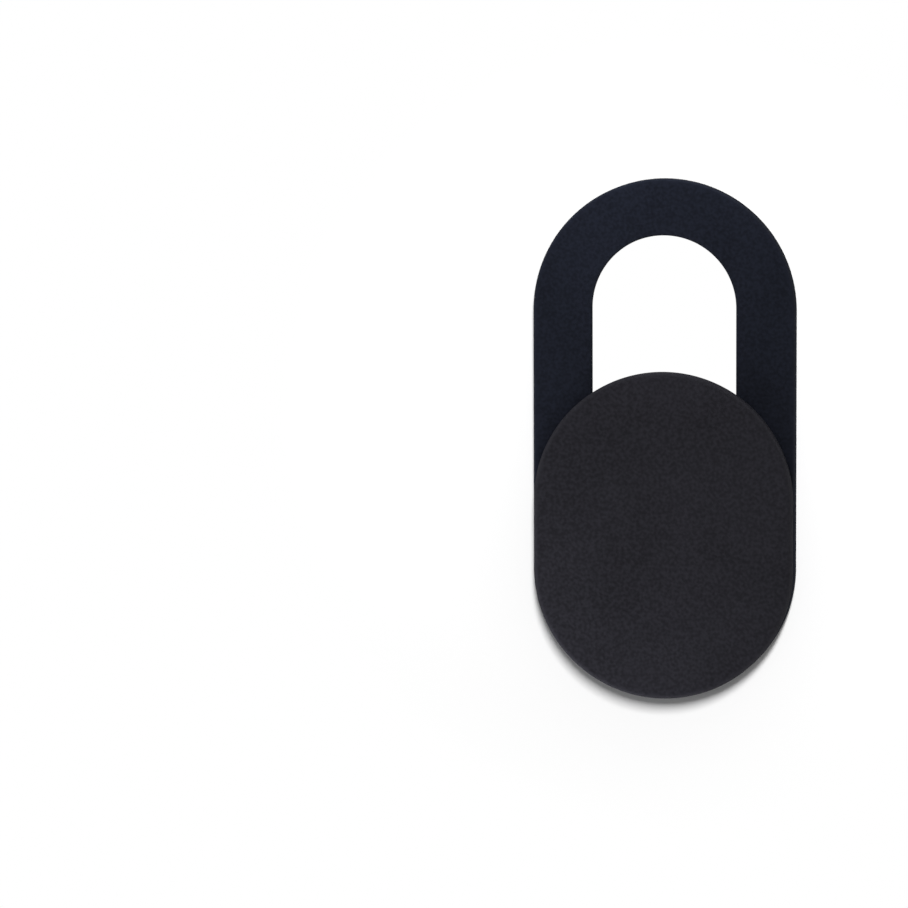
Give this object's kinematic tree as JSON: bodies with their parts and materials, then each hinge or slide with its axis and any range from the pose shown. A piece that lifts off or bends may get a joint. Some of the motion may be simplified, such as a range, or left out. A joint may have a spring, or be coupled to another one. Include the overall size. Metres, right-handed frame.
{
  "type": "webcam cover slider",
  "caption": "Flat pill-shaped webcam cover: a stick-on frame with a rounded window, and a shutter plate that slides along it to cover or bare the lens.",
  "frame": {"origin": "on the adhesive face, under the middle of the frame's outline", "axes": "+Z out of the front face towards the user, Y along the slide with the bared end of the window at +Y, X across"},
  "size_m": [0.0092, 0.018, 0.001],
  "materials": {
    "frame_plastic": "smooth satin moulding, blue-black",
    "shutter_plastic": "fine matt moulded grain, charcoal black",
    "keeper_plastic": "plain satin moulding, black",
    "adhesive_tape": "milky acrylic adhesive on a tissue carrier"
  },
  "bodies": {
    "frame": {"frame": "frame_plastic", "adhesive_ring": "adhesive_tape"},
    "shutter": {"shutter": "shutter_plastic", "keeper": "keeper_plastic"}
  },
  "joints": [
    {"name": "shutter_slide", "type": "slide", "parent": "frame", "child": "shutter", "axis": [0, 1, 0], "range_m": [0, 0.00665]}
  ]
}
